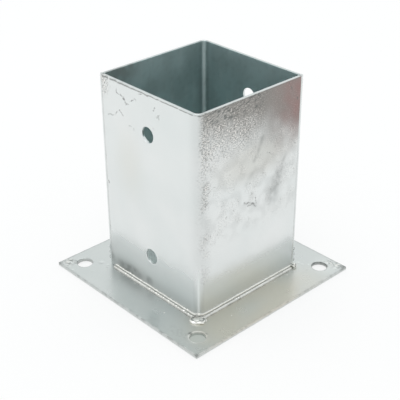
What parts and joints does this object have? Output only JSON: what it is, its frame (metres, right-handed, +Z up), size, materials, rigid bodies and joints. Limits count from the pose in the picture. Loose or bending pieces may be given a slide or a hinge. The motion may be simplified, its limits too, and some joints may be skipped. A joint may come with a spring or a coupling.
{
  "type": "timber post base",
  "caption": "Galvanised steel post base: open square socket with bolt holes through facing walls, welded on a square bolt-down plate with corner anchor holes.",
  "frame": {"origin": "middle of the base plate's underside", "axes": "+Z up, out of the socket's open top; -Y out of the front wall, which has bolt holes; +X out of the plain right wall"},
  "size_m": [0.15, 0.15, 0.1525],
  "materials": {
    "galvanised_steel": "hot-dip galvanised, pale satin grey with cloudy patches and rough zinc runs",
    "galvanised_weld": "weld bead under the same zinc coat, brighter and smoother"
  },
  "bodies": {
    "root": {"base_plate": "galvanised_steel", "front_right_angle": "galvanised_steel", "back_left_angle": "galvanised_steel", "front_left_seam_weld": "galvanised_weld", "back_right_seam_weld": "galvanised_weld", "front_foot_weld": "galvanised_weld", "right_foot_weld": "galvanised_weld", "back_foot_weld": "galvanised_weld", "left_foot_weld": "galvanised_weld"}
  },
  "joints": []
}
